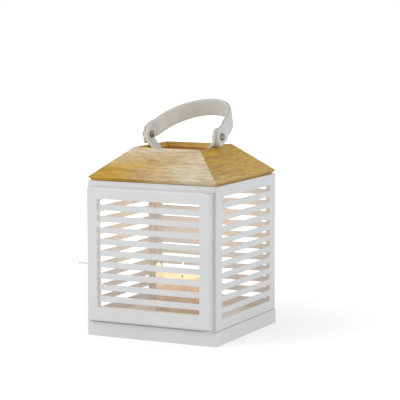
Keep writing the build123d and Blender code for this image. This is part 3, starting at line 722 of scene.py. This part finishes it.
def band_section(half_width, half_thickness, corner, nip, steps=5):
    """Points (across, through) round a band, and what the finish's attribute is at each."""
    points = []
    for sx, sy, start in ((1, 1, 0), (-1, 1, 90), (-1, -1, 180), (1, -1, 270)):
        turned = []
        for i in range(steps + 1):
            angle = math.radians(start + 90 * i / steps)
            x = sx * (half_width - corner) + corner * math.cos(angle)
            y = sy * (half_thickness - corner) + corner * math.sin(angle)
            turned.append((x, y, 0.5 * abs(math.cos(angle)) ** 0.5))
        points += turned
        if start in (0, 180):
            run = half_width - corner
            for share in (0.62, 0.25, -0.25, -0.62):
                swell = half_thickness * (1.0 + 0.05 * (1 - abs(share)))
                points.append((sx * run * share, sy * swell, 0.0))
        elif nip:
            edge = sx * half_width
            for share, depth, glue in GLUE_LINE:
                lift = (half_thickness - corner) * share * sy
                points.append((edge - sx * nip * depth, lift, glue))
        else:
            points.append((sx * half_width, 0.0, 0.5))
    return points


def loft_band(name, stations, half_thickness, corner, nip):
    """stations: (middle, across, through, half width), from one end of the band to the other."""
    points, edge, ring = [], [], 0
    for middle, across, through, half_width in stations:
        section = band_section(half_width, half_thickness, corner, nip)
        ring = len(section)
        for x, y, cut in section:
            points.append(middle + across * x + through * y)
            edge.append(cut)
    faces = []
    for s in range(len(stations) - 1):
        for i in range(ring):
            a, b = s * ring + i, s * ring + (i + 1) % ring
            faces.append((a, b, b + ring, a + ring))
    for s, order in ((0, 1), (len(stations) - 1, -1)):
        middle = sum(points[s * ring:(s + 1) * ring], Vector()) / ring
        points.append(middle)
        edge.append(0.5)
        hub = len(points) - 1
        for i in range(ring):
            a, b = s * ring + i, s * ring + (i + 1) % ring
            faces.append((hub, a, b) if order > 0 else (hub, b, a))
    band = new_piece(name, points, faces, leather)
    mark_points(band, "cut_edge", edge)
    return band


print("band section points", len(band_section(0.0125, 0.003, 0.001, 0.0005)))


# %% [markdown]
# ## The handle strap
# The strap rises from its two screws as a tall arch and leans back under its own weight. It
# leans 69 degrees at the screws and 73 at its top, so it droops very little between them. Its
# ends are cut on a slant just past the screws. The arch is half an ellipse on two straight
# legs, which stand a little further out beside the tabs. Its stations are walked along that
# arch, and each is then laid back by the lean that its height calls for.

# %% Shape the strap
barrel_low, barrel_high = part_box("handle_studs")
AXIS_HEIGHT = (barrel_low.z + barrel_high.z) / 2
STRAP_HALF_SPAN = 54.2 * MM
SPREAD_AT_SCREWS = 3.6 * MM
SPREAD_STARTS = 30.0 * MM
SPREAD_FULL = 12.0 * MM
HOOP_LEG = 15.6 * MM
HOOP_TOP = 105.7 * MM
STRAP_END = 7.4 * MM            # past the screws, at the strap's middle
END_SLANT = 0.62                # how much further than the middle the lower corner reaches
STRAP_CORNER = 1.1 * MM
GLUE_NIP = 1.1 * MM
LEAN_AT_SCREWS = math.radians(69)
LEAN_AT_TOP = math.radians(73)


def laid_back(height):
    """(y, z, lean) of a point this far up the arch."""
    if height <= 0:
        return height * math.sin(LEAN_AT_SCREWS), height * math.cos(LEAN_AT_SCREWS), LEAN_AT_SCREWS
    y = z = 0.0
    steps = 24
    lean = LEAN_AT_SCREWS
    for i in range(steps):
        share = (i + 0.5) / steps * height / HOOP_TOP
        lean = LEAN_AT_SCREWS + (LEAN_AT_TOP - LEAN_AT_SCREWS) * share
        y += math.sin(lean) * height / steps
        z += math.cos(lean) * height / steps
    lean = LEAN_AT_SCREWS + (LEAN_AT_TOP - LEAN_AT_SCREWS) * height / HOOP_TOP
    return y, z, lean


def spread(height):
    """How much further out the strap stands beside the tabs than above them."""
    share = (SPREAD_STARTS - height) / (SPREAD_STARTS - SPREAD_FULL)
    share = min(1.0, max(0.0, share))
    return SPREAD_AT_SCREWS * share * share * (3 - 2 * share)


def strap_width(height):
    """Half width: full above the screws, with rounded corners at its very end."""
    full = STRAP_WIDTH / 2
    if height >= 0:
        return full
    share = min(1.0, -height / STRAP_END)
    return full * (1 - 0.10 * share ** 2 - 0.28 * max(0.0, (share - 0.5) / 0.5) ** 2)


arch = []
for i in range(9):
    arch.append((STRAP_HALF_SPAN, -STRAP_END + STRAP_END * i / 9))
for i in range(7):
    arch.append((STRAP_HALF_SPAN, HOOP_LEG * i / 7))
for i in range(49):
    angle = math.pi / 2 * i / 48
    height = HOOP_LEG + (HOOP_TOP - HOOP_LEG) * math.sin(angle)
    arch.append((STRAP_HALF_SPAN * math.cos(angle), height))
arch = [(x + spread(h), h) for x, h in arch]
arch += [(-x, h) for x, h in reversed(arch[:-1])]

placed = []
for x, height in arch:
    y, z, lean = laid_back(height)
    placed.append((Vector((x, y, AXIS_HEIGHT + z)), lean, height))
stations = []
for i, (middle, lean, height) in enumerate(placed):
    ahead = placed[min(i + 1, len(placed) - 1)][0] - placed[max(i - 1, 0)][0]
    across = Vector((0, -math.cos(lean), math.sin(lean)))
    through = ahead.cross(across).normalized()
    across = through.cross(ahead).normalized()
    if height < 0:
        up = Vector((0, math.sin(lean), math.cos(lean)))
        across = across - up * height * END_SLANT / (STRAP_WIDTH / 2)
    stations.append((middle, across, through, strap_width(height)))
strap = loft_band("handle_strap_leather", stations, LEATHER, STRAP_CORNER, GLUE_NIP)
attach(strap, "handle")
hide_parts("handle_strap", "handle_lining")
print("strap top", [round(v, 4) for v in placed[len(placed) // 2][0]])

# %% [markdown]
# ## The two tabs
# A tab is a single layer of leather. It is screwed to the underside of a side board, comes
# out past the board's upper edge, turns up beside it and ends in a round tip behind the
# handle's screw. Straight runs between four places, joined by rounded bends, give the
# stations.

# %% Shape the tabs
TAB_MIDDLE = RIM_HALF + 0.5 * MM
TAB_ON_BOARD = 30.0 * MM
TAB_PAST_EDGE = 4.5 * MM
TAB_TURN_DROP = 8.4 * MM        # where the tab turns upright, below the screws
TAB_CORNER = 0.7 * MM
on_board = inner_top + inward * (LEATHER / 2 + 0.05 * MM)
tab_start = on_board + slope * TAB_ON_BOARD
tab_bend = on_board - slope * TAB_PAST_EDGE
tab_turn = Vector((TAB_MIDDLE, AXIS_HEIGHT - TAB_TURN_DROP))
tab_end = Vector((TAB_MIDDLE, AXIS_HEIGHT + STRAP_WIDTH / 2))


def rounded_path(corners, radii, bend_steps=8, run_steps=7):
    """Points along straight runs whose corners are rounded with smooth bends."""
    path = []
    last = corners[0]
    for k in range(1, len(corners) - 1):
        before = (corners[k - 1] - corners[k]).normalized()
        after = (corners[k + 1] - corners[k]).normalized()
        half = before.angle(after) / 2
        reach = radii[k - 1] / math.tan(half)
        enter = corners[k] + before * reach
        leave = corners[k] + after * reach
        path += [last.lerp(enter, i / run_steps) for i in range(run_steps)]
        for i in range(bend_steps):
            t = i / bend_steps
            path.append(enter * (1 - t) ** 2 + corners[k] * 2 * t * (1 - t) + leave * t ** 2)
        last = leave
    path += [last.lerp(corners[-1], i / (2 * run_steps)) for i in range(2 * run_steps + 1)]
    return path


tab_path = rounded_path([tab_start, tab_bend, tab_turn, tab_end], [4.0 * MM, 8.0 * MM])
for side, sx in (("right", 1), ("left", -1)):
    stations = []
    for i, p in enumerate(tab_path):
        ahead = tab_path[min(i + 1, len(tab_path) - 1)] - tab_path[max(i - 1, 0)]
        ahead = Vector((sx * ahead.x, 0, ahead.y)).normalized()
        across = Vector((0, 1, 0))
        from_tip = (tab_end - p).length
        half_width = STRAP_WIDTH / 2
        if from_tip < half_width:
            half_width *= math.sqrt(max(0.012, 1 - (1 - from_tip / half_width) ** 2))
        stations.append((Vector((sx * p.x, 0, p.y)), across, ahead.cross(across), half_width))
    tab = loft_band("handle_tab_%s_leather" % side, stations, LEATHER / 2, TAB_CORNER, 0.0)
    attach(tab, "lantern")
    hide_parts("handle_tab_" + side)
print("tab stations", len(tab_path))

# %% [markdown]
# ## The candle
# The candle is a plain cast cylinder whose top has burned down by 17 mm, all but a high lump
# on its left. The flame melts a pool, and the cooler wall round it stays standing, notched
# where it slumped. The body is turned, ring by ring, from its foot up the side, over the rim
# and down into the pool. Smooth noise on the angle makes the rim uneven, and a few runs of
# wax hang from it.

# %% Shape the candle
CANDLE_AT = (candle_low + candle_high) / 2
CANDLE_RADIUS = (candle_high.x - candle_low.x) / 2
CANDLE_TOP = candle_high.z
POOL_LEVEL = CANDLE_TOP - 23.0 * MM
RING = 144
BURNED_BY = 17.0 * MM           # how far most of the rim has burned below the measured top
SIDE_ENDS = 1.2 * MM            # below the rim, where its rounding starts
SLUMP_AT, SLUMP_WIDTH, SLUMP_DEPTH = 300, 42, 1.2 * MM
# each lump: degrees round the candle, half width in degrees, height
LUMPS = ((198, 30, 15.0 * MM), (240, 12, 8.5 * MM), (60, 20, 1.6 * MM))
# each run of wax: degrees round the candle, half width in degrees, length, thickness
WAX_RUNS = ((196, 3.2, 20.0 * MM, 1.1 * MM), (243, 2.6, 12.0 * MM, 0.9 * MM),
            (318, 3.0, 16.0 * MM, 1.0 * MM), (75, 3.4, 24.0 * MM, 1.1 * MM))


def round_axis(radius, angle, z):
    return Vector((radius * math.cos(angle), radius * math.sin(angle), z))


def degrees_from(angle, centre):
    return (math.degrees(angle) - centre + 180) % 360 - 180


def rim_height(angle):
    """How far the wall stands above the candle's measured top, in metres."""
    seen = round_axis(1.6, angle, 3.1)
    ragged = noise.noise(seen) * 0.0016 + noise.noise(seen * 3.3) * 0.0012
    high = 0.0
    for centre, width, rise in LUMPS:
        high += rise * math.exp(-(degrees_from(angle, centre) / width) ** 4)
    slump = SLUMP_DEPTH * math.exp(-(degrees_from(angle, SLUMP_AT) / SLUMP_WIDTH) ** 2)
    return ragged + high - BURNED_BY - slump


def drip(angle, z):
    """Extra radius where a run of wax hangs down the side."""
    extra = 0.0
    for centre, width, length, swell in WAX_RUNS:
        away = degrees_from(angle, centre)
        fall = (CANDLE_TOP - z) / length
        if 0 <= fall <= 1.15:
            head = 1.0 + 0.6 * math.exp(-((fall - 0.95) / 0.12) ** 2)
            extra += swell * head * math.exp(-(away / width) ** 2) * (1 - max(0, fall - 1) / 0.15)
    return extra


rings = [(0.0, 0.0, 0), (0.9, 0.0, 0), (0.985, 0.0003, 0), (1.0, 0.0015, 0)]
side_levels = 26
for i in range(1, side_levels + 1):
    rings.append((1.0, 0.0015 + (CANDLE_TOP - candle_low.z - 0.004) * i / side_levels, 1))
# share of the radius, and height in metres over the rim and over the pool
over_rim = [(0.999, -SIDE_ENDS), (0.985, -0.0002), (0.955, 0.0002),
            (0.925, -0.0006), (0.905, -0.0022), (0.893, -0.0050)]
pool = [(0.882, 0.0014), (0.875, 0.0004), (0.86, 0.0), (0.7, -0.0001),
        (0.5, -0.0002), (0.3, 0.0), (0.12, 0.0004), (0.0, 0.0006)]
points, faces = [], []
for share, lift, kind in rings:
    for i in range(RING):
        angle = 2 * math.pi * i / RING
        z = candle_low.z + lift
        r = CANDLE_RADIUS * share
        if kind:
            swell = noise.noise(round_axis(2, angle, z * 40))
            r += swell * 0.0002 + drip(angle, z)
            upper = max(0.0, lift / (CANDLE_TOP - candle_low.z) - 0.55) / 0.45
            z += upper * (rim_height(angle) - SIDE_ENDS)
        points.append(round_axis(r, angle, z))
for share, lift in over_rim:
    for i in range(RING):
        angle = 2 * math.pi * i / RING
        wall = CANDLE_RADIUS * share + 0.0005 * noise.noise(round_axis(3, angle, 9))
        points.append(round_axis(wall, angle, CANDLE_TOP + lift + rim_height(angle)))
for share, lift in pool:
    for i in range(RING):
        angle = 2 * math.pi * i / RING
        points.append(round_axis(CANDLE_RADIUS * share, angle, POOL_LEVEL + lift))
ring_count = len(points) // RING
for k in range(ring_count - 1):
    for i in range(RING):
        a, b = k * RING + i, k * RING + (i + 1) % RING
        faces.append((a, b, b + RING, a + RING))
centre = Vector((CANDLE_AT.x, CANDLE_AT.y, 0))
candle = new_piece("candle_burned", [p + centre for p in points], faces, wax)
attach(candle, "candle")
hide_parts("candle_wax")
print("candle rings", ring_count, "top", round(max(p.z for p in points), 4))

# %% [markdown]
# ## Wick and flame
# A burning wick bends over and glows at its tip; here it is only charred, with no glow. It is a
# thin tube along a short curve. The flame is a turned drop round it, widest low down and drawn to a
# point.

# %% Shape wick and flame
def tube(name, path, radii, finish, sides=12):
    points, faces = [], []
    for k, p in enumerate(path):
        ahead = (path[min(k + 1, len(path) - 1)] - path[max(k - 1, 0)]).normalized()
        side = ahead.cross(Vector((0, 1, 0))).normalized()
        other = ahead.cross(side)
        for i in range(sides):
            angle = 2 * math.pi * i / sides
            points.append(p + (side * math.cos(angle) + other * math.sin(angle)) * radii[k])
    for k in range(len(path) - 1):
        for i in range(sides):
            a, b = k * sides + i, k * sides + (i + 1) % sides
            faces.append((a, b, b + sides, a + sides))
    faces += [tuple(range(sides)), tuple(range(len(points) - 1, len(points) - 1 - sides, -1))]
    return new_piece(name, points, faces, finish)


WICK_HEIGHT = 10.5 * MM
WICK_BEND = 2.2 * MM
WICK_RADIUS = 0.9 * MM
wick_foot = Vector((CANDLE_AT.x, CANDLE_AT.y, POOL_LEVEL - 2.0 * MM))
wick_path, wick_radii = [], []
for k in range(10):
    bend = WICK_BEND * (k / 9) ** 2
    wick_path.append(wick_foot + Vector((bend, 0, WICK_HEIGHT * k / 9)))
    wick_radii.append(WICK_RADIUS + 0.0001 * math.sin(k * 2.3))
wick = tube("wick_burned", wick_path, wick_radii, wick_char)
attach(wick, "candle")
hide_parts("candle_wick")

FLAME_HEIGHT = 20.0 * MM
FLAME_WIDTH = 3.8 * MM          # its radius before it is drawn to a point
flame_foot = wick_foot + Vector((1.0 * MM, 0, 5.4 * MM))
flame_path, flame_radii = [], []
for k in range(25):
    t = k / 24
    flame_path.append(flame_foot + Vector((0.0006 * math.sin(t * 2.4), 0, FLAME_HEIGHT * t)))
    drop = (math.sin(math.pi * t ** 0.62) ** 0.9) * (1 - 0.35 * t)
    flame_radii.append(FLAME_WIDTH * drop + 0.00006)
flame = tube("flame_drop", flame_path, flame_radii, flame_glow, 24)
rises = [(v.co.z - flame_foot.z) / FLAME_HEIGHT for v in flame.data.vertices]
mark_points(flame, "flame_rise", rises)
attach(flame, "candle")
print("flame at", [round(v, 4) for v in flame_foot])

# %% [markdown]
# ## Candle light
# The flame is too small to light the box well on its own, so a small warm lamp hangs 50 mm
# above it and moves with the candle. It gives the walls inside their warm tone.

# %% Light from the flame
LAMP_ABOVE_FLAME = 50.0 * MM
candle_light = bpy.data.lights.new("candle_light", "POINT")
candle_light.energy = 0.11
candle_light.color = (1.0, 0.70, 0.45)
candle_light.shadow_soft_size = 0.006
lamp = bpy.data.objects.new("candle_light", candle_light)
lamp.location = flame_foot + Vector((0, 0, FLAME_HEIGHT + LAMP_ABOVE_FLAME))
bpy.context.scene.collection.objects.link(lamp)
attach(lamp, "candle")
print("candle lamp", candle_light.energy, "W")

# %% [markdown]
# ## Floor, sky and studio lamps
# The lantern stands on a white sweep. The floor takes the lantern's shadow, and light of its
# own, seen only by the camera and in reflections, lifts it to white. That light is weaker
# close to the lantern, so the shadow at its foot stays. The sky lights the object evenly and
# softly, and two large lamps give the faces their difference.

# %% Floor
def own_light(tree, strength):
    """Light that only the camera, mirrors and glass see."""
    path = add(tree, "ShaderNodeLightPath").outputs
    seen = math_node(tree, "MAXIMUM", path["Is Camera Ray"], path["Is Glossy Ray"])
    seen = math_node(tree, "MAXIMUM", seen, path["Is Transmission Ray"])
    return math_node(tree, "MULTIPLY", seen, strength)


GLOW_NEAR, GLOW_FAR = 0.33, 0.72
NEAR, FAR = 0.16, 0.80          # metres from the middle between which the glow grows
FLOOR_REACH = 6.0
floor_finish, tree, shader = start_finish("white_sweep", Roughness=0.9)
place = add(tree, "ShaderNodeTexCoord").outputs["Object"]
cloud = noise_in(tree, place, 3.0)
tree.links.new(ramp(tree, cloud, (0.3, grey(0.90)), (0.7, grey(0.92))), shader.inputs["Base Color"])
shader.inputs["Specular IOR Level"].default_value = 0.0
shader.inputs["Emission Color"].default_value = (1, 1, 1, 1)
outwards = add(tree, "ShaderNodeVectorMath", {"operation": "LENGTH"}, _0=place).outputs["Value"]
glow = add(tree, "ShaderNodeMapRange", Value=outwards, _1=NEAR, _2=FAR, _3=GLOW_NEAR,
           _4=GLOW_FAR).outputs[0]
tree.links.new(own_light(tree, glow), shader.inputs["Emission Strength"])
corners = [(-1, -1), (1, -1), (1, 1), (-1, 1)]
corners = [(x * FLOOR_REACH, y * FLOOR_REACH, 0) for x, y in corners]
floor = new_piece("floor", corners, [(0, 1, 2, 3)], floor_finish, False)

world = bpy.data.worlds.new("studio")
bpy.context.scene.world = world
world.use_nodes = True
tree = world.node_tree
tree.nodes.clear()
SKY = 0.62
total = math_node(tree, "ADD", own_light(tree, 1.0 - SKY), SKY)
sky = add(tree, "ShaderNodeBackground", Color=(1, 1, 1, 1), Strength=total)
tree.links.new(sky.outputs[0], add(tree, "ShaderNodeOutputWorld").inputs["Surface"])
print("sky", SKY)


# %% Studio lamps
def soft_lamp(name, place, aim, size, energy, colour=(1, 1, 1)):
    light = bpy.data.lights.new(name, "AREA")
    light.size = size
    light.energy = energy
    light.color = colour
    obj = bpy.data.objects.new(name, light)
    obj.location = place
    obj.rotation_euler = (Vector(aim) - Vector(place)).to_track_quat("-Z", "Y").to_euler()
    bpy.context.scene.collection.objects.link(obj)
    return obj


soft_lamp("key", (-1.1, -1.6, 1.5), (0, 0, 0.12), 1.0, 11.0)
soft_lamp("side", (1.9, -0.5, 0.5), (0, 0, 0.10), 1.0, 3.0)
print("lamps set")

# %% [markdown]
# ## Camera
# A long lens a couple of metres away looks a little down on the lantern and sees its door
# and its right wall. The lens is given by its focal length and the sensor's width.

# %% Camera
CAMERA_TURN = math.radians(26.12)
CAMERA_RISE = math.radians(6.98)
CAMERA_FAR = 2.4741
aim = Vector((0.02655, 0.0, 0.18832))
level = math.cos(CAMERA_RISE)
away = Vector((math.sin(CAMERA_TURN) * level, -math.cos(CAMERA_TURN) * level,
               math.sin(CAMERA_RISE)))
camera_data = bpy.data.cameras.new("camera")
camera_data.sensor_width = 36.0
camera_data.lens = 156.0
camera_data.clip_end = 50.0
camera = bpy.data.objects.new("camera", camera_data)
camera.location = aim + away * CAMERA_FAR
camera.rotation_euler = (-away).to_track_quat("-Z", "Y").to_euler()
bpy.context.scene.collection.objects.link(camera)
bpy.context.scene.camera = camera
bpy.context.scene.view_settings.view_transform = "Standard"
print("camera at", [round(v, 4) for v in camera.location])

# %% [markdown]
# ## Update the scene
# The dressed lantern has to stay the size of the measured one. The last line updates the view
# layer.

# %% Finish
bpy.context.view_layer.update()
